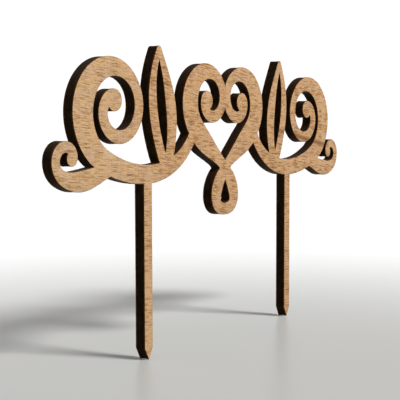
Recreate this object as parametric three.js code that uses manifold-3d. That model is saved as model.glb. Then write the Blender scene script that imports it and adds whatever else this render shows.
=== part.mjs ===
// Cake topper: a scrollwork heart with a leaf and a volute on each side, carried on two pointed stakes.
// One outline is laser cut through a veneered board: heart, scrolls and stakes are one piece in every layer.
// The board is a stack of five layers: beech veneer, glue line, fibre core, glue line, beech veneer.
// Millimetres, +Z up. The origin is midway between the stakes, in the middle of the board's thickness,
// at the height of the stake tips. The front veneer faces -Y.

import * as THREE from 'three';
import { mergeVertices } from 'three/addons/utils/BufferGeometryUtils.js';
import Module from 'manifold-3d';

const wasm = await Module();
wasm.setup();

// Board
const veneerThickness = 0.5;
const glueThickness = 0.1;
const coreThickness = 2.8;

// Stakes, cut in one with the scrollwork
const stakeSpacing = 94;
const stakeWidth = 4.4;
const stakeLength = 61; // from the tip up to the base line of the scrollwork
const stakePointHeight = 4.1;

// Pen widths of the scrollwork
const hairWidth = 4.6;
const bodyWidth = 6.8;
const swellWidth = 9.4;
const leafWidth = 5.8;
const leafTipWidth = 2.8;
const curlWidth = 3.7;
const eyeDiameter = 7.4; // the round ends of the lobes and the large volutes
const curlEyeDiameter = 4.8;

// Heart: each half rolls out of a lobe, runs down the flank, crosses the axis and closes the drop below
const lobeHeight = 28.8; // centre of the lobe above the base line
const lobeInnerRadius = 3.5;
const lobeOuterRadius = 12.6;
const lobeTurns = 1.02;
const lobeOverlap = 0.8; // how far each lobe's stroke reaches over the axis
const lobeReach = 12.5; // handle lengths of the flank, at the lobe and at the crossing
const crossingReach = 11.3;
const crossingHeight = 3.5; // above the base line
const crossingAngle = 45; // between the strokes and the axis, in degrees
const dropDepth = 12; // below the base line
const dropShoulder = 10.4; // handle lengths of the drop, at the crossing and at its lowest point
const dropRound = 8.6;

// Large volute and the stem that runs from it along the base line and up into the heart's flank
const voluteOffset = 62.8; // centre of the volute from the axis, and above the base line
const voluteHeight = 24.2;
const voluteInnerRadius = 4.4;
const voluteOuterRadius = 17.9;
const voluteTurns = 1.42;
const voluteExit = -72; // where the stem leaves the volute, in degrees round its centre
const stemReach = 22.5; // handle lengths of the stem, at the volute and at the flank
const stemRise = 18.5;
const stemRoot = 0.3; // where the stem meets the flank, as a share of the flank's length from the lobe
const stemRootHeading = 115; // in degrees

// Leaf: two ribs that stand on the stem and meet in a point
const leafRoot = 0.575; // as a share of the stem's length from the volute
const leafHeight = 41;
const leafLean = 3.5;
const leafInnerBulge = 6.6; // how far the ribs' handles stand out on each side
const leafOuterBulge = 6.8;
const leafShoulder = 13; // height of the handles above the root and below the tip

// End curl: a small volute on its own stem, which leaves the main stem beside the large volute
const ornamentWidth = 185.6; // from the outer edge of one curl to that of the other
const curlHeight = 8.4; // centre of the curl above the base line
const curlInnerRadius = 2.6;
const curlOuterRadius = 6;
const curlTurns = 0.7;
const curlExit = -72;
const curlReach = 8; // handle lengths of the curl's stem, at the curl and at its root
const curlRise = 8;
const curlRoot = 0.08; // as a share of the main stem's length from the volute
const curlRootHeading = 165;

// Fineness of the outline
const curveSamples = 300; // points at which each curve is read
const facetDepth = 0.1; // how far a facet may cut inside a round stretch
const widestTurn = 24; // in degrees, from one facet to the next
const longestFacet = 7;
const longestRun = 150; // in degrees, how far a stroke turns before it is drawn on as a new outline
const tightestPen = 0.85; // most of the bend's radius that the pen fills on the inner side
const closestPoints = 0.01; // points of the joined outline that lie closer are one point

const heading = (degrees) => {
  const angle = THREE.MathUtils.degToRad(degrees);
  return new THREE.Vector2(Math.cos(angle), Math.sin(angle));
};
const above = (offset, height) => new THREE.Vector2(offset, stakeLength + height);

// A spiral that unrolls clockwise, from its inner end to the exit on its outer turn.
class Volute extends THREE.Curve {
  constructor({ centre, innerRadius, outerRadius, turns, exit }) {
    super();
    this.centre = centre;
    this.innerRadius = innerRadius;
    this.outerRadius = outerRadius;
    this.turns = turns;
    this.exit = exit;
  }

  radiusAt(turnsBeforeExit) {
    const share = turnsBeforeExit / this.turns;
    return THREE.MathUtils.lerp(this.outerRadius, this.innerRadius, share);
  }

  // The radius of the outermost turn in a direction.
  radiusToward(degrees) {
    return this.radiusAt(THREE.MathUtils.euclideanModulo(degrees - this.exit, 360) / 360);
  }

  getPoint(t, target = new THREE.Vector2()) {
    const turnsBeforeExit = this.turns * (1 - t);
    const arm = heading(this.exit + 360 * turnsBeforeExit);
    return target.copy(arm).multiplyScalar(this.radiusAt(turnsBeforeExit)).add(this.centre);
  }
}

// A curve that goes on from the end of another one and arrives at a point with a given heading.
function goOn(from, startReach, end, endHeading, endReach) {
  const start = from.getPoint(1);
  const startHandle = start.clone().addScaledVector(from.getTangent(1), startReach);
  const endHandle = end.clone().addScaledVector(endHeading, -endReach);
  return new THREE.CubicBezierCurve(start, startHandle, endHandle, end);
}

// The pen's width at a share of a stroke's length, eased between the stroke's [share, width] pairs.
function penWidth(widths, share) {
  const next = Math.max(1, widths.findIndex(([at]) => at >= share));
  const [fromShare, fromWidth] = widths[next - 1];
  const [toShare, toWidth] = widths[next];
  return THREE.MathUtils.lerp(fromWidth, toWidth, THREE.MathUtils.smoothstep(share, fromShare, toShare));
}

// The angle between two facets that stand on a circle of a given radius.
function facetTurn(radius) {
  const turn = 2 * Math.acos(Math.max(0, 1 - facetDepth / radius));
  return Math.min(turn, THREE.MathUtils.degToRad(widestTurn));
}

// Stations along a stroke: close together where it bends, far apart where it is straight.
function stationsOf({ curves, widths }) {
  const samples = [];
  for (const curve of curves) {
    for (let i = samples.length ? 1 : 0; i <= curveSamples; i++) {
      const t = i / curveSamples;
      samples.push({ point: curve.getPoint(t), tangent: curve.getTangent(t), travelled: 0, turned: 0 });
    }
  }
  for (let i = 1; i < samples.length; i++) {
    const [before, sample] = [samples[i - 1], samples[i]];
    const step = sample.point.distanceTo(before.point);
    const turn = before.tangent.cross(sample.tangent);
    sample.travelled = before.travelled + step;
    sample.turned = before.turned + Math.abs(turn);
    sample.bend = turn / step; // left turns count as positive
  }
  samples[0].bend = samples[1].bend;

  const end = samples.at(-1);
  const stations = [];
  for (const sample of samples) {
    sample.half = penWidth(widths, sample.travelled / end.travelled) / 2;
    const last = stations.at(-1);
    const outerRadius = 1 / Math.abs(sample.bend) + sample.half;
    const due = !last || sample === end
      || sample.turned - last.turned > facetTurn(outerRadius)
      || sample.travelled - last.travelled > longestFacet;
    if (due) stations.push(sample);
  }
  return stations;
}

// The pen's right or left edge at a station. On the inner side of a tight bend it stops short of the centre.
function edgeAt({ point, tangent, bend, half }, side) {
  const room = bend * side > 0 ? tightestPen / Math.abs(bend) : half;
  const normal = new THREE.Vector2(-tangent.y, tangent.x).multiplyScalar(side);
  return normal.multiplyScalar(Math.min(half, room)).add(point);
}

// An arc of facets round a centre, counter-clockwise.
function arc(centre, radius, startHeading, sweep) {
  const facets = Math.ceil(THREE.MathUtils.degToRad(sweep) / facetTurn(radius));
  const points = [];
  for (let i = 0; i <= facets; i++) {
    points.push(heading(startHeading + (sweep * i) / facets).multiplyScalar(radius).add(centre));
  }
  return points;
}

// The round end of a volute, flush with the outer edge of its stroke.
function eyeOutline(station, diameter) {
  const outwards = new THREE.Vector2(-station.tangent.y, station.tangent.x);
  const centre = station.point.clone().addScaledVector(outwards, station.half - diameter / 2);
  const startHeading = THREE.MathUtils.radToDeg(outwards.angle());
  return arc(centre, diameter / 2, startHeading, 360).slice(0, -1);
}

// The half disc that the round pen leaves at the last station.
function capOutline({ point, tangent, half }) {
  return arc(point, half, THREE.MathUtils.radToDeg(tangent.angle()) - 90, 180);
}

// A stroke as outlines that meet edge to edge, so that a volute may turn over itself.
function strokeOutlines(stroke) {
  const stations = stationsOf(stroke);
  const outlines = [capOutline(stations.at(-1))];
  if (stroke.eye) outlines.push(eyeOutline(stations[0], stroke.eye));
  const runs = Math.ceil(stations.at(-1).turned / THREE.MathUtils.degToRad(longestRun));
  let first = 0;
  for (let run = 1; run <= runs; run++) {
    const turned = (stations.at(-1).turned * run) / runs;
    const last = run < runs ? stations.findIndex((station) => station.turned >= turned) : stations.length - 1;
    const stretch = stations.slice(first, last + 1);
    const right = stretch.map((station) => edgeAt(station, -1));
    const left = stretch.map((station) => edgeAt(station, 1));
    outlines.push([...right, ...left.reverse()]);
    first = last;
  }
  return outlines;
}

const mirrored = (outline) => outline.map(({ x, y }) => new THREE.Vector2(-x, y)).reverse();

function heartHalf() {
  const lobe = new Volute({
    centre: above(0, lobeHeight),
    innerRadius: lobeInnerRadius,
    outerRadius: lobeOuterRadius,
    turns: lobeTurns,
    exit: 0,
  });
  lobe.centre.x = lobe.radiusToward(180) + hairWidth / 2 - lobeOverlap;
  const crossing = above(0, crossingHeight);
  const flank = goOn(lobe, lobeReach, crossing, heading(270 - crossingAngle), crossingReach);
  const drop = goOn(flank, dropShoulder, above(0, -dropDepth), heading(0), dropRound);
  const widths = [
    [0, hairWidth],
    [0.25, hairWidth],
    [0.5, swellWidth],
    [0.62, swellWidth],
    [0.79, hairWidth],
    [0.88, bodyWidth],
    [1, hairWidth],
  ];
  return { flank, stroke: { curves: [lobe, flank, drop], widths, eye: eyeDiameter } };
}

function voluteAndStem(flank) {
  const volute = new Volute({
    centre: above(voluteOffset, voluteHeight),
    innerRadius: voluteInnerRadius,
    outerRadius: voluteOuterRadius,
    turns: voluteTurns,
    exit: voluteExit,
  });
  const stem = goOn(volute, stemReach, flank.getPointAt(stemRoot), heading(stemRootHeading), stemRise);
  const widths = [
    [0, hairWidth],
    [0.27, hairWidth],
    [0.51, swellWidth],
    [0.74, bodyWidth],
    [1, hairWidth],
  ];
  return { stem, stroke: { curves: [volute, stem], widths, eye: eyeDiameter } };
}

function leafRibs(stem) {
  const root = stem.getPointAt(leafRoot);
  const tip = new THREE.Vector2(root.x + leafLean, root.y + leafHeight);
  const rib = (bulge) => {
    const low = new THREE.Vector2(root.x + bulge, root.y + leafShoulder);
    const high = new THREE.Vector2(tip.x + bulge, tip.y - leafShoulder);
    return new THREE.CubicBezierCurve(root, low, high, tip);
  };
  const innerWidths = [[0, hairWidth], [0.5, leafWidth], [1, leafTipWidth]];
  const outerWidths = [[0, hairWidth], [0.5, hairWidth], [1, leafTipWidth]];
  return [
    { curves: [rib(-leafInnerBulge)], widths: innerWidths },
    { curves: [rib(leafOuterBulge)], widths: outerWidths },
  ];
}

function endCurl(stem) {
  const curl = new Volute({
    centre: above(0, curlHeight),
    innerRadius: curlInnerRadius,
    outerRadius: curlOuterRadius,
    turns: curlTurns,
    exit: curlExit,
  });
  curl.centre.x = ornamentWidth / 2 - curl.radiusToward(0) - curlWidth / 2;
  const curlStem = goOn(curl, curlReach, stem.getPointAt(curlRoot), heading(curlRootHeading), curlRise);
  const widths = [
    [0, curlWidth],
    [0.3, curlWidth],
    [0.65, bodyWidth],
    [1, hairWidth],
  ];
  return { curves: [curl, curlStem], widths, eye: curlEyeDiameter };
}

// The stake reaches up to the middle of the stem that it carries.
function stakeOutline(stem) {
  const x = stakeSpacing / 2;
  const nearer = (best, point) => (Math.abs(point.x - x) < Math.abs(best.x - x) ? point : best);
  const top = stem.getSpacedPoints(curveSamples).reduce(nearer).y;
  const corner = (side, height) => new THREE.Vector2(x + (side * stakeWidth) / 2, height);
  const tip = new THREE.Vector2(x, 0);
  return [tip, corner(1, stakePointHeight), corner(1, top), corner(-1, top), corner(-1, stakePointHeight)];
}

// A flat outline as a solid one millimetre deep, standing upright with its front on y = -1.
function upright(outline) {
  const geometry = new THREE.ExtrudeGeometry(new THREE.Shape(outline), { depth: 1, bevelEnabled: false });
  geometry.rotateX(Math.PI / 2);
  geometry.deleteAttribute('normal');
  geometry.deleteAttribute('uv');
  const { index, attributes } = mergeVertices(geometry);
  const vertProperties = new Float32Array(attributes.position.array);
  const triVerts = new Uint32Array(index.array);
  return new wasm.Manifold(new wasm.Mesh({ numProp: 3, vertProperties, triVerts }));
}

// The whole cut outline, one millimetre deep, without the points that the joins leave inside its faces.
function cutOutline() {
  const heart = heartHalf();
  const scroll = voluteAndStem(heart.flank);
  const strokes = [heart.stroke, scroll.stroke, endCurl(scroll.stem), ...leafRibs(scroll.stem)];
  const rightHalf = [stakeOutline(scroll.stem), ...strokes.flatMap(strokeOutlines)];
  const outlines = [...rightHalf, ...rightHalf.map(mirrored)];
  const joined = outlines.map(upright).reduce((solid, piece) => solid.add(piece));
  const { vertProperties, triVerts } = joined.asOriginal().simplify(closestPoints).getMesh();
  const geometry = new THREE.BufferGeometry();
  geometry.setAttribute('position', new THREE.BufferAttribute(vertProperties, 3));
  geometry.setIndex(new THREE.BufferAttribute(triVerts, 1));
  return geometry;
}

const frontVeneer = new THREE.MeshStandardMaterial({ color: 0xc09b73, roughness: 0.62, metalness: 0 });
const backVeneer = new THREE.MeshStandardMaterial({ color: 0xb8936c, roughness: 0.66, metalness: 0 });
const glue = new THREE.MeshStandardMaterial({ color: 0x2a1710, roughness: 0.5, metalness: 0 });
const charredFibre = new THREE.MeshStandardMaterial({ color: 0x17100a, roughness: 0.6, metalness: 0 });

const layers = [
  { name: 'front_face_veneer', thickness: veneerThickness, material: frontVeneer },
  { name: 'front_glue_film', thickness: glueThickness, material: glue },
  { name: 'core_board', thickness: coreThickness, material: charredFibre },
  { name: 'back_glue_film', thickness: glueThickness, material: glue },
  { name: 'back_face_veneer', thickness: veneerThickness, material: backVeneer },
];

const boardThickness = layers.reduce((sum, { thickness }) => sum + thickness, 0);
const outline = cutOutline();
const topper = new THREE.Group();
let front = -boardThickness / 2;
for (const { name, thickness, material } of layers) {
  const back = front + thickness;
  const geometry = outline.clone().scale(1, thickness, 1).translate(0, back, 0);
  const layer = new THREE.Mesh(geometry, material);
  layer.name = name;
  topper.add(layer);
  front = back;
}

export default topper;
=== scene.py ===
import math

import bmesh
import bpy
from mathutils import Euler, Matrix, Vector


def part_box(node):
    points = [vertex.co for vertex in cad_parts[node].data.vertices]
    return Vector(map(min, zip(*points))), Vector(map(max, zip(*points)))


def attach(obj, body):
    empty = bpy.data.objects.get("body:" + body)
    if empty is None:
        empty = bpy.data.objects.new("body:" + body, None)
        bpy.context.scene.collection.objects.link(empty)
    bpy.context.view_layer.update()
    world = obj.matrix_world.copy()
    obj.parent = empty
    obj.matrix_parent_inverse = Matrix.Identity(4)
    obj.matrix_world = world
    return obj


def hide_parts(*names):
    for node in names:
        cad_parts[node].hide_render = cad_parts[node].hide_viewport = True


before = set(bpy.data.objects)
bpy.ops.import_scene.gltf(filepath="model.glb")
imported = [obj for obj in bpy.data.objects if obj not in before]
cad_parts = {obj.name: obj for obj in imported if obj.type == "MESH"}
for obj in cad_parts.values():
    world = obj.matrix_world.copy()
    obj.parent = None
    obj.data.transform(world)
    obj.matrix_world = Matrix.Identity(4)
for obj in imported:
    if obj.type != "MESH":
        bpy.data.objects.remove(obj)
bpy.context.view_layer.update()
print("frame:", ", ".join(sorted(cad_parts)))

mm = 0.001

# Camera: low, left of the front face and close to it

view = {
    "place": (-0.2893, -0.1956, 0.0761),
    "heading": 54.63,  # degrees from straight ahead of the face, towards the right
    "tilt": -3.92,
    "roll": -0.13,
    "lens": 82.4,
    "sensor": 36,
    "clip": (0.01, 50),
}


def makeCamera():
    data = bpy.data.cameras.new("camera")
    data.lens = view["lens"]
    data.sensor_width = view["sensor"]
    data.clip_start, data.clip_end = view["clip"]
    camera = bpy.data.objects.new("camera", data)
    bpy.context.scene.collection.objects.link(camera)
    aim = Euler((math.radians(90 + view["tilt"]), 0, math.radians(-view["heading"]))).to_matrix()
    roll = Matrix.Rotation(math.radians(view["roll"]), 3, "Z")
    camera.matrix_world = Matrix.Translation(view["place"]) @ (aim @ roll).to_4x4()
    bpy.context.scene.camera = camera


makeCamera()
print("camera in place")

# Shaders: sockets that can be used in sums, and one method that adds any other node


class Wire:
    def __init__(self, finish, socket):
        self.finish = finish
        self.socket = socket

    def maths(self, operation, first, second):
        return self.finish.add("ShaderNodeMath", {"operation": operation}, {0: first, 1: second})

    def __add__(self, other):
        return self.maths("ADD", self, other)

    def __radd__(self, other):
        return self.maths("ADD", other, self)

    def __sub__(self, other):
        return self.maths("SUBTRACT", self, other)

    def __rsub__(self, other):
        return self.maths("SUBTRACT", other, self)

    def __mul__(self, other):
        return self.maths("MULTIPLY", self, other)

    def __rmul__(self, other):
        return self.maths("MULTIPLY", other, self)

    def __abs__(self):
        return self.maths("ABSOLUTE", self, 0)


class Finish:
    def __init__(self, tree, shader):
        self.tree = tree
        self.shader = tree.nodes[shader]

    def add(self, kind, settings=None, inputs=None, output=0):
        node = self.tree.nodes.new(kind)
        for name, value in (settings or {}).items():
            setattr(node, name, value)
        for name, value in (inputs or {}).items():
            self.feed(node.inputs[name], value)
        return Wire(self, node.outputs[output])

    def feed(self, socket, value):
        if isinstance(value, Wire):
            self.tree.links.new(value.socket, socket)
        else:
            socket.default_value = value

    def set(self, **values):
        for name, value in values.items():
            self.feed(self.shader.inputs[name.replace("_", " ")], value)

    # Millimetres in the topper's own frame: x along the board, y through it, z up
    def place(self, shift=(0, 0, 0)):
        metres = self.add("ShaderNodeTexCoord", output="Object")
        scaled = self.add("ShaderNodeVectorMath", {"operation": "SCALE"}, {0: metres, "Scale": 1 / mm})
        return self.add("ShaderNodeVectorMath", {"operation": "ADD"}, {0: scaled, 1: shift})

    def split(self, vector, *axes):
        parts = self.add("ShaderNodeSeparateXYZ", None, {0: vector}).socket.node.outputs
        return [Wire(self, parts[axis]) for axis in axes]

    # Soft noise from 0 to 1 whose spots are about as long as the sizes say
    def noise(self, place, sizes, detail=2, roughness=0.5):
        stretch = tuple(1 / size for size in sizes)
        spot = self.add("ShaderNodeVectorMath", {"operation": "MULTIPLY"}, {0: place, 1: stretch})
        inputs = {"Vector": spot, "Scale": 1, "Detail": detail, "Roughness": roughness}
        return self.add("ShaderNodeTexNoise", None, inputs)

    # Rises from 0 to the top as the value goes from low to high, which may be the lower one
    def ramp(self, value, low, high, top=1):
        inputs = {"Value": value, "From Min": low, "From Max": high, "To Max": top}
        return self.add("ShaderNodeMapRange", {"interpolation_type": "SMOOTHSTEP"}, inputs)

    def mix(self, share, first, second, blend="MIX"):
        settings = {"data_type": "RGBA", "blend_type": blend}
        return self.add("ShaderNodeMix", settings, {0: share, 6: first, 7: second}, 2)

    def bump(self, height, depth):
        inputs = {"Height": height, "Strength": 1, "Distance": depth}
        self.set(Normal=self.add("ShaderNodeBump", None, inputs))


def colour(red, green, blue):
    return (red, green, blue, 1)


def newMaterial(name):
    material = bpy.data.materials.new(name)
    material.use_nodes = True
    return material, Finish(material.node_tree, "Principled BSDF")


# Beech veneer, with its grain along the board. Each noise has its size in mm along, through and up
# the board. The tones that follow it give the values between which they set in, and how strongly.

beech = {
    "wood": colour(0.4147, 0.2379, 0.1052),
    "rosy": colour(0.3852, 0.2308, 0.1255),
    "pale": colour(0.489, 0.332, 0.1725),
    "late": colour(0.216, 0.0923, 0.0142),
    "fleck": colour(0.141, 0.0496, 0.0054),
    # painted highlight: the paler end is a haze of reflected light painted into the wood's tone
    "paintedHazeEnd": colour(0.998, 1.058, 1.141),  # one end of the sheet is a little paler
    "unhazedEnd": colour(1.002, 1.0, 0.995),
    "turnsAt": (-70, -30),  # where along the board one end turns into the other
    "turnSway": (40, 9, 30),
    "turnSwayLength": 40,
    # the grain is weaker at the paler end, under the painted haze of light
    "calm": 0.66,  # the grain's strength at the paler end
    "lively": 0.41,  # how much stronger it is at the other
    "slope": 0.08,  # how fast the grain runs down along the board
    "longSway": (40, 8, 20),
    "longSwayHeight": 2.4,
    "shortSway": (9, 4, 5),
    "shortSwayHeight": 0.35,
    "patches": (6, 3, 3),
    "rosyPatches": (0.42, 0.6),
    "bands": (50, 1, 5),
    "darkBands": (0.5, 0.28, 0.1),
    "paleBands": (0.5, 0.72, 0.25),
    "fibres": (2.6, 1, 0.28),
    "darkFibres": (0.5, 0.28, 0.5),
    "paleFibres": (0.46, 0.66, 0.7),
    "threads": (12, 1, 0.15),
    "darkThreads": (0.5, 0.25, 0.3),
    "crowding": (14, 6, 7),  # where lines and flecks stand closer
    "crowds": (0.32, 0.6),
    "lines": (9, 1, 0.9),
    "lineWidth": 0.09,
    "lineBreaks": (3.5, 1, 1),
    "lineEnds": (0.38, 0.58),
    "lineDepth": 0.45,
    "crowdedLineDepth": 0.45,
    "longFlecks": (7, 0.34),  # how far apart they are, along and up the board
    "longFleckDepth": 1.15,
    "crowdedLongDepth": 0.55,
    "shortFlecks": (1.5, 0.27),
    "shortFleckDepth": 0.75,
    "crowdedShortDepth": 0.45,
    "netShift": 40,  # keeps the short flecks' net off the long ones'
    "fleckEdge": (0.42, 0.126),  # where a fleck ends and where it is darkest, as shares of its cell
    "faintest": 0.62,  # the higher, the fewer flecks show
    "streak": (32, 86),  # a dark mineral streak, from one place along the board to another
    "streakFades": (14, 8),
    "streakHeight": 84.8,  # where it would cross the board's middle
    "streakSlope": 0.15,
    "streakWidth": 3.6,
    "streakDepth": 0.9,
    "roughness": 0.6,
    "fibreRoughness": 0.1,
    "shine": 0.3,
    "relief": 0.03 * mm,
    "fibreRelief": 0.6,
    "lineRelief": 0.4,
}


def beechFinish(name, shift):
    material, finish = newMaterial(name)
    place = finish.place(shift)
    along, up = finish.split(place, "X", "Z")

    # the fibres run along the board with a slight slope, and sway a little
    longSway = (finish.noise(place, beech["longSway"]) - 0.5) * beech["longSwayHeight"]
    shortSway = (finish.noise(place, beech["shortSway"]) - 0.5) * beech["shortSwayHeight"]
    up = up + along * beech["slope"] + (longSway + shortSway)
    grain = finish.add("ShaderNodeCombineXYZ", None, {"X": along, "Y": 0, "Z": up})

    bands = finish.noise(grain, beech["bands"], detail=3, roughness=0.6)
    fibres = finish.noise(grain, beech["fibres"], detail=3, roughness=0.7)
    threads = finish.noise(grain, beech["threads"])
    patches = finish.noise(place, beech["patches"], roughness=0.6)
    crowded = finish.ramp(finish.noise(place, beech["crowding"]), *beech["crowds"])
    turnSway = (finish.noise(place, beech["turnSway"]) - 0.5) * beech["turnSwayLength"]
    # runs from the end with the painted haze of light to the clear end
    unhazedShare = finish.ramp(along + turnSway, *beech["turnsAt"])
    contrast = beech["calm"] + unhazedShare * beech["lively"]

    # late wood is darker, and also shows as lines that are broken up along their length
    lines = lateLines(finish, grain) * (beech["lineDepth"] + crowded * beech["crowdedLineDepth"])
    dark = finish.ramp(fibres, *beech["darkFibres"]) + finish.ramp(threads, *beech["darkThreads"])
    late = dark + lines + finish.ramp(bands, *beech["darkBands"])

    # pore lines and ray flecks, each one a short dark lens
    longDepth = beech["longFleckDepth"] + crowded * beech["crowdedLongDepth"]
    shortDepth = beech["shortFleckDepth"] + crowded * beech["crowdedShortDepth"]
    flecks = fleckMask(finish, along, up, beech["longFlecks"]) * longDepth
    flecks += fleckMask(finish, along + beech["netShift"], up, beech["shortFlecks"]) * shortDepth

    wood = finish.mix(finish.ramp(patches, *beech["rosyPatches"]), beech["wood"], beech["rosy"])
    wood = finish.mix(finish.ramp(bands, *beech["paleBands"]), wood, beech["pale"])
    wood = finish.mix(finish.ramp(fibres, *beech["paleFibres"]), wood, beech["pale"])
    wood = finish.mix(late * contrast, wood, beech["late"])
    wood = finish.mix(flecks * contrast, wood, beech["fleck"])
    streakUp = up + along * (beech["streakSlope"] - beech["slope"])
    wood = finish.mix(streakMask(finish, along, streakUp) * beech["streakDepth"], wood, beech["fleck"])
    # painted highlight: a haze of reflected light painted over the wood at one end
    wood = finish.mix(1, wood, finish.mix(unhazedShare, beech["paintedHazeEnd"], beech["unhazedEnd"]), "MULTIPLY")

    finish.set(Base_Color=wood, Roughness=beech["roughness"] + fibres * beech["fibreRoughness"])
    finish.set(Specular_IOR_Level=beech["shine"])
    finish.bump(fibres * beech["fibreRelief"] - flecks - lines * beech["lineRelief"], beech["relief"])
    return material


# Fine wavy lines where a noise passes its middle, worn away where a second noise is low
def lateLines(finish, grain):
    contour = finish.noise(grain, beech["lines"], detail=1)
    worn = finish.ramp(finish.noise(grain, beech["lineBreaks"], detail=1), *beech["lineEnds"])
    return finish.ramp(abs(contour - 0.5), beech["lineWidth"], 0) * worn


# One long soft-edged line that fades at its ends
def streakMask(finish, along, up):
    left, right = beech["streak"]
    fadeIn, fadeOut = beech["streakFades"]
    across = finish.ramp(abs(up - beech["streakHeight"]), beech["streakWidth"] / 2, 0)
    return across * finish.ramp(along, left, left + fadeIn) * finish.ramp(along, right, right - fadeOut)


# Spots strewn over the face, one in each cell of a loose net, some of them darker than others
def fleckMask(finish, along, up, spacing):
    cell = {"X": along * (1 / spacing[0]), "Y": up * (1 / spacing[1])}
    spot = finish.add("ShaderNodeCombineXYZ", None, cell)
    inputs = {"Vector": spot, "Scale": 1, "Randomness": 1}
    distance = finish.add("ShaderNodeTexVoronoi", {"voronoi_dimensions": "2D"}, inputs, "Distance")
    shade = Wire(finish, distance.socket.node.outputs["Color"])
    strength = finish.ramp(finish.add("ShaderNodeSeparateColor", None, {0: shade}), beech["faintest"], 1)
    return finish.ramp(distance, *beech["fleckEdge"]) * strength


# The cut edge: burnt wood, nearly black, with the beam's fine strokes through the board

burn = {
    "veneer": colour(0.064, 0.021, 0.002),
    "veneerDark": colour(0.024, 0.008, 0.002),
    "fibre": colour(0.0072, 0.0038, 0.0014),
    "fibreLight": colour(0.0150, 0.0082, 0.0034),
    "glue": colour(0.010, 0.004, 0.002),
    "roughness": 0.5,
    "sootRoughness": 0.2,
    "shine": 0.005,
    "velvet": 0.085,  # charred fibre tips, which catch the light at a low angle
    "velvetRoughness": 0.4,
    "velvetTint": colour(1, 0.7, 0.58),
    "strokes": (0.35, 9, 0.35),
    "strokeShare": 0.5,  # how much the strokes break up the soot
    "relief": 0.02 * mm,
    "soot": (2.5, 1.6, 2.5),
    "sootEdge": (0.35, 0.7),
}


def burntFinish(name, dark, light):
    material, finish = newMaterial(name)
    place = finish.place()
    strokes = finish.noise(place, burn["strokes"], roughness=0.6)
    soot = finish.noise(place, burn["soot"], detail=3, roughness=0.6)
    burnt = soot + (strokes - 0.5) * burn["strokeShare"]
    finish.set(Base_Color=finish.mix(finish.ramp(burnt, *burn["sootEdge"]), dark, light))
    finish.set(Roughness=burn["roughness"] + (soot - 0.5) * burn["sootRoughness"])
    finish.set(Specular_IOR_Level=burn["shine"], Sheen_Weight=burn["velvet"])
    finish.set(Sheen_Roughness=burn["velvetRoughness"], Sheen_Tint=burn["velvetTint"])
    finish.bump(strokes, burn["relief"])
    return material


finishes = {
    "frontBeech": beechFinish("beech front", (0, 0, 0)),
    "backBeech": beechFinish("beech back", (317, 0, 141)),
    "burntVeneer": burntFinish("burnt veneer edge", burn["veneerDark"], burn["veneer"]),
    "burntGlue": burntFinish("burnt glue line", burn["glue"], burn["veneerDark"]),
    "burntFibre": burntFinish("burnt fibre edge", burn["fibre"], burn["fibreLight"]),
}
print("finishes:", ", ".join(finishes))

# The cut line, taken from the front veneer: its facets become smooth curves between true corners

cut = {
    "cornerTurn": 26,  # degrees; where the line turns by more, it has a corner
    "curveError": 0.006 * mm,  # how far a step may leave the curve
    "longestStep": 3 * mm,
    "weld": 0.001 * mm,  # points that are closer are one
    "flat": 0.01 * mm,  # how near to the front a face counts as lying on it
    "leastMitre": 0.25,  # keeps very sharp corners from stepping too far
}


# The loops round a sheet's front face, each with the wood on its left
def frontLoops(node):
    sheet = bmesh.new()
    sheet.from_mesh(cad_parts[node].data)
    bmesh.ops.remove_doubles(sheet, verts=sheet.verts, dist=cut["weld"])
    sheet.verts.index_update()
    sheet.verts.ensure_lookup_table()
    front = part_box(node)[0].y
    faces = [f for f in sheet.faces if all(abs(v.co.y - front) < cut["flat"] for v in f.verts)]
    onFront = set(faces)
    following = {}
    for face in faces:
        for corner in face.loops:
            if corner.link_loop_radial_next.face not in onFront:
                following[corner.vert.index] = corner.link_loop_next.vert.index
    loops = []
    while following:
        vertex = min(following)
        loop = []
        while vertex in following:
            loop.append(sheet.verts[vertex].co.xz)
            vertex = following.pop(vertex)
        loops.append(loop)
    sheet.free()
    return loops


# The point as a mirror between start and end shows it: it carries an arc on past its end
def mirrored(point, start, end):
    way = (end - start).normalized()
    return point - 2 * (point - (start + end) / 2).dot(way) * way


# How the line leaves start and meets end, from the points before and after them
def handles(before, start, end, after):
    pairs = ((before, start), (start, end), (end, after))
    first, middle, last = (math.sqrt((far - near).length) for near, far in pairs)
    leaving = (start - before) / first - (end - before) / (first + middle) + (end - start) / middle
    meeting = (end - start) / middle - (after - start) / (middle + last) + (after - end) / last
    return leaving * middle, meeting * middle


# The point at that share of the way along a cubic curve
def onCurve(start, end, leaving, meeting, share):
    square = share * share
    cube = square * share
    ends = (2 * cube - 3 * square + 1) * start + (3 * square - 2 * cube) * end
    return ends + (cube - 2 * square + share) * leaving + (cube - square) * meeting


# The loop with points added between its own, wherever it isn't straight
def smoothed(loop):
    count = len(loop)
    sharp = []
    for i, point in enumerate(loop):
        turn = (point - loop[i - 1]).angle(loop[(i + 1) % count] - point)
        sharp.append(math.degrees(turn) > cut["cornerTurn"])
    points = []
    for i, start in enumerate(loop):
        before = loop[i - 1]
        end = loop[(i + 1) % count]
        after = loop[(i + 2) % count]
        points.append(start)
        startSharp = sharp[i]
        endSharp = sharp[(i + 1) % count]
        if startSharp and endSharp:
            continue
        if startSharp:
            before = mirrored(after, start, end)
        if endSharp:
            after = mirrored(before, start, end)
        leaving, meeting = handles(before, start, end, after)
        length = (end - start).length
        rise = leaving.angle(meeting) * length / 8  # how far an arc of that turn stands off its chord
        steps = math.ceil(max(math.sqrt(rise / cut["curveError"]), length / cut["longestStep"]))
        points += [onCurve(start, end, leaving, meeting, step / steps) for step in range(1, steps)]
    return points


# Per point of a loop, the step into the wood that moves both of its sides by one
def inwards(loop):
    steps = []
    for i, point in enumerate(loop):
        arriving = (point - loop[i - 1]).normalized()
        leaving = (loop[(i + 1) % len(loop)] - point).normalized()
        across = (arriving + leaving).orthogonal().normalized()
        steps.append(across / max(cut["leastMitre"], across.dot(arriving.orthogonal())))
    return steps


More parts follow.
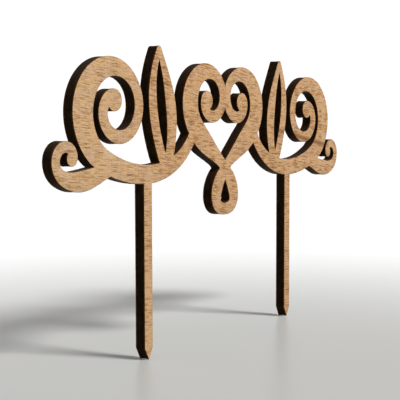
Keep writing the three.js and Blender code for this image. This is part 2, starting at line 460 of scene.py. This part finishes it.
outlines = [(loop, inwards(loop)) for loop in map(smoothed, frontLoops("front_face_veneer"))]
print("cut line:", sum(len(loop) for loop, steps in outlines), "points in", len(outlines), "loops")

# The board's five layers, cut together

board = {
    "front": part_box("front_face_veneer")[0].y,
    "back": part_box("back_face_veneer")[1].y,
    "arris": 0.09 * mm,  # how far the sanding rounds the edges of the faces
    "arrisSteps": 4,
    "lean": 0.03 * mm,  # the beam cuts a little wider at the front
    "glueSet": 0.03 * mm,  # how far the beam burns a layer back behind the veneers
    "coreSet": 0.02 * mm,
    "coreHollow": 0.04 * mm,
    "coreRings": (0, 0.15, 0.5, 0.85, 1),  # where they lie, as shares of its thickness
}


# How far the cut stands inside the line, at a depth in the board
def leanAt(depth):
    return board["lean"] * (board["back"] - depth) / (board["back"] - board["front"])


# A quarter round as (depth into the board, inset) pairs, from the face to the cut
def arris():
    radius = board["arris"]
    steps = board["arrisSteps"]
    angles = [math.pi / 2 * step / steps for step in range(steps + 1)]
    return [(radius * (1 - math.cos(angle)), radius * (1 - math.sin(angle))) for angle in angles]


# A layer as a closed sheet: rings round the cut line from front to back, and a face at each end
def makeLayer(name, node, rings, cutFinish, faceFinish):
    sheet = bmesh.new()
    ends = [[], []]
    for loop, steps in outlines:
        rows = []
        for depth, inset in rings:
            inset += leanAt(depth)
            places = [point + step * inset for point, step in zip(loop, steps)]
            rows.append([sheet.verts.new((place.x, depth, place.y)) for place in places])
        for front, back in zip(rows, rows[1:]):
            for i in range(len(loop)):
                sheet.faces.new((front[i - 1], back[i - 1], back[i], front[i])).smooth = True
        for end, row in zip(ends, (rows[0], rows[-1])):
            end += [sheet.edges.get((row[i - 1], row[i])) for i in range(len(row))]
    for end, normal in zip(ends, ((0, -1, 0), (0, 1, 0))):
        filled = bmesh.ops.triangle_fill(sheet, use_beauty=True, edges=end, normal=normal)
        depth = end[0].verts[0].co.y
        if depth in (board["front"], board["back"]):  # the board's own faces aren't burnt
            for face in filled["geom"]:
                if isinstance(face, bmesh.types.BMFace):
                    face.material_index = 1
    mesh = bpy.data.meshes.new(name)
    sheet.to_mesh(mesh)
    sheet.free()
    mesh.set_sharp_from_angle(angle=math.radians(cut["cornerTurn"]))
    mesh.materials.append(finishes[cutFinish])
    mesh.materials.append(finishes[faceFinish])
    piece = bpy.data.objects.new(name, mesh)
    bpy.context.scene.collection.objects.link(piece)
    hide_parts(node)
    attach(piece, "root")
    print(name + ":", len(mesh.polygons), "faces")


def depthsOf(node):
    low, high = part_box(node)
    return low.y, high.y


def veneerRings(front, back):
    return [(front + depth, inset) for depth, inset in arris()] + [(back, 0)]


def backVeneerRings(front, back):
    return [(front, 0)] + [(back - depth, inset) for depth, inset in reversed(arris())]


def coreRings(front, back):
    rings = []
    for share in board["coreRings"]:
        hollow = board["coreHollow"] * math.sin(math.pi * share)
        rings.append((front + share * (back - front), board["coreSet"] + hollow))
    return rings


def glueRings(front, back):
    return [(front, board["glueSet"]), (back, board["glueSet"])]


layers = {
    "front_veneer": ("front_face_veneer", "front_veneer", veneerRings, "burntVeneer", "frontBeech"),
    "front_glue_line": ("front_glue_film", "glue", glueRings, "burntGlue", "burntGlue"),
    "fibre_core": ("core_board", "fibre_core", coreRings, "burntFibre", "burntFibre"),
    "back_glue_line": ("back_glue_film", "glue", glueRings, "burntGlue", "burntGlue"),
    "back_veneer": ("back_face_veneer", "back_veneer", backVeneerRings, "burntVeneer", "backBeech"),
}
for name, (node, slot, ringsOf, cutFinish, faceFinish) in layers.items():
    makeLayer(name, node, ringsOf(*depthsOf(node)), cutFinish, faceFinish)

# Stage: a pale floor painted lighter with distance, a painted falloff of light out to white, a white
# surround, a soft light and a weak fill

stage = {
    "floorSize": 16,
    # the painted falloff of light on the floor: its centre, where it starts and where it reaches white
    "paintedFalloffCentre": (-0.069, -0.049),
    "paintedFalloffStart": 0.08,
    "paintedFalloffEnd": 0.4,
    "grey": colour(0.437, 0.436, 0.419),
    "white": colour(0.89, 0.89, 0.89),
    "floorRoughness": 0.3,
    "floorShine": 0.07,
    "surround": 1.06,
    "overhead": 0.075,
    "surroundTop": 13,  # degrees above the horizon, as the next
    "overheadFrom": 22,
    "keyFrom": (0.25, -0.934, 0.966),  # the way to the light; its length doesn't matter
    "keySpread": 16,  # degrees
    "key": 4.35,
    "fillFrom": (-0.6, 0.75, 0.27),
    "fillSpread": 60,
    "fill": 0.76,
}


def makeFloor():
    mesh = bpy.data.meshes.new("floor")
    half = stage["floorSize"] / 2
    corners = [(-half, -half, 0), (half, -half, 0), (half, half, 0), (-half, half, 0)]
    mesh.from_pydata(corners, [], [(0, 1, 2, 3)])
    floor = bpy.data.objects.new("floor", mesh)
    bpy.context.scene.collection.objects.link(floor)
    paper, finish = newMaterial("paper")
    metres = finish.add("ShaderNodeTexCoord", output="Object")
    # painted shade: the floor's colour runs from grey near the topper to white further out, a painted
    # falloff of light
    centre = (*stage["paintedFalloffCentre"], 0)
    settings = {"operation": "DISTANCE"}
    distance = finish.add("ShaderNodeVectorMath", settings, {0: metres, 1: centre}, "Value")
    share = finish.ramp(distance, stage["paintedFalloffStart"], stage["paintedFalloffEnd"])
    finish.set(Base_Color=finish.mix(share, stage["grey"], stage["white"]))
    finish.set(Roughness=stage["floorRoughness"], Specular_IOR_Level=stage["floorShine"])
    mesh.materials.append(paper)


def makeSurround():
    world = bpy.data.worlds.new("surround")
    world.use_nodes = True
    bpy.context.scene.world = world
    finish = Finish(world.node_tree, "Background")
    direction = finish.add("ShaderNodeTexCoord", output="Generated")
    split = finish.add("ShaderNodeSeparateXYZ", None, {0: direction}, "Z")
    top = math.sin(math.radians(stage["surroundTop"]))
    dark = math.sin(math.radians(stage["overheadFrom"]))
    share = finish.ramp(split, top, dark)
    strength = stage["surround"] + share * (stage["overhead"] - stage["surround"])
    finish.set(Color=colour(1, 1, 1), Strength=strength)


def makeLight(name):
    light = bpy.data.lights.new(name, "SUN")
    light.angle = math.radians(stage[name + "Spread"])
    light.energy = stage[name]
    lamp = bpy.data.objects.new(name, light)
    bpy.context.scene.collection.objects.link(lamp)
    lamp.rotation_euler = Vector(stage[name + "From"]).to_track_quat("Z", "Y").to_euler()


makeFloor()
makeSurround()
makeLight("key")
makeLight("fill")
bpy.context.scene.view_settings.view_transform = "Standard"
print("stage set")
